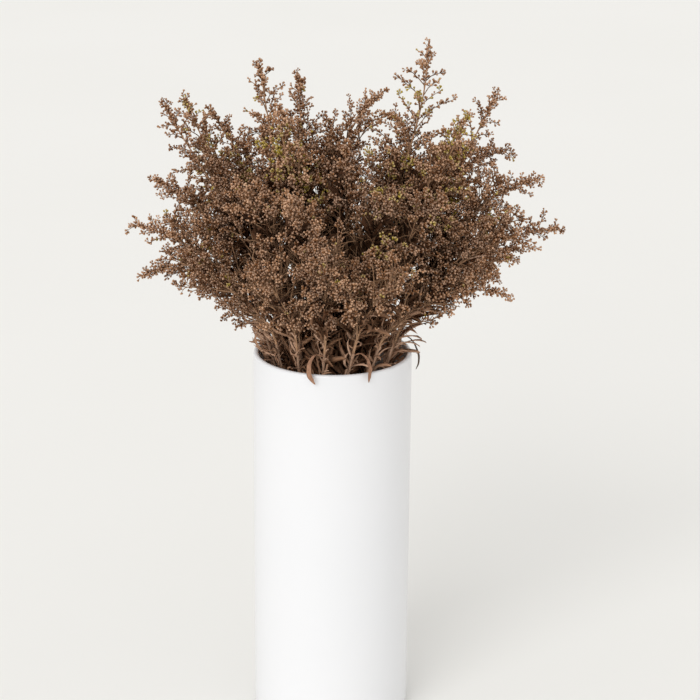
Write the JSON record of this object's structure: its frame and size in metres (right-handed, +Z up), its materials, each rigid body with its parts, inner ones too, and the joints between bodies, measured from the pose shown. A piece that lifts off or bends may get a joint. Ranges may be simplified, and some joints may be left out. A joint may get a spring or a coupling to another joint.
{
  "type": "vase of goldenrod",
  "caption": "Dried goldenrod sprays, brown with olive tips, fanning out of a tall straight white ceramic cylinder vase",
  "frame": {"origin": "the middle of the vase's flat underside, on the surface that the vase stands on", "axes": "+Z runs up the vase's axis to the flowers, -Y is the front from which the picture was taken, and +X is the picture's right"},
  "size_m": [0.316, 0.2111, 0.526],
  "materials": {
    "glaze": "satin",
    "dried_stem": "matte",
    "dried_flower": "matte",
    "dried_leaf": "matte"
  },
  "bodies": {
    "root": {"vase": "glaze", "stem_01": "dried_stem", "stem_02": "dried_stem", "stem_03": "dried_stem", "stem_04": "dried_stem", "stem_05": "dried_stem", "stem_06": "dried_stem", "stem_07": "dried_stem", "stem_08": "dried_stem", "stem_09": "dried_stem", "stem_10": "dried_stem", "stem_11": "dried_stem", "stem_12": "dried_stem", "stem_13": "dried_stem", "stem_14": "dried_stem", "stem_15": "dried_stem", "stem_16": "dried_stem", "stem_17": "dried_stem", "stem_18": "dried_stem", "stem_19": "dried_stem", "stem_20": "dried_stem", "stem_21": "dried_stem", "stem_22": "dried_stem", "stem_23": "dried_stem", "stem_24": "dried_stem", "stem_25": "dried_stem", "stem_26": "dried_stem", "stem_27": "dried_stem", "stem_28": "dried_stem", "plume_01": "dried_flower", "plume_02": "dried_flower", "plume_03": "dried_flower", "plume_04": "dried_flower", "plume_05": "dried_flower", "plume_06": "dried_flower", "plume_07": "dried_flower", "plume_08": "dried_flower", "plume_09": "dried_flower", "plume_10": "dried_flower", "plume_11": "dried_flower", "plume_12": "dried_flower", "plume_13": "dried_flower", "plume_14": "dried_flower", "plume_15": "dried_flower", "plume_16": "dried_flower", "plume_17": "dried_flower", "plume_18": "dried_flower", "plume_19": "dried_flower", "plume_20": "dried_flower", "plume_21": "dried_flower", "plume_22": "dried_flower", "plume_23": "dried_flower", "plume_24": "dried_flower", "plume_25": "dried_flower", "plume_26": "dried_flower", "plume_27": "dried_flower", "plume_28": "dried_flower", "leaf_1": "dried_leaf", "leaf_2": "dried_leaf", "leaf_3": "dried_leaf"}
  },
  "joints": []
}
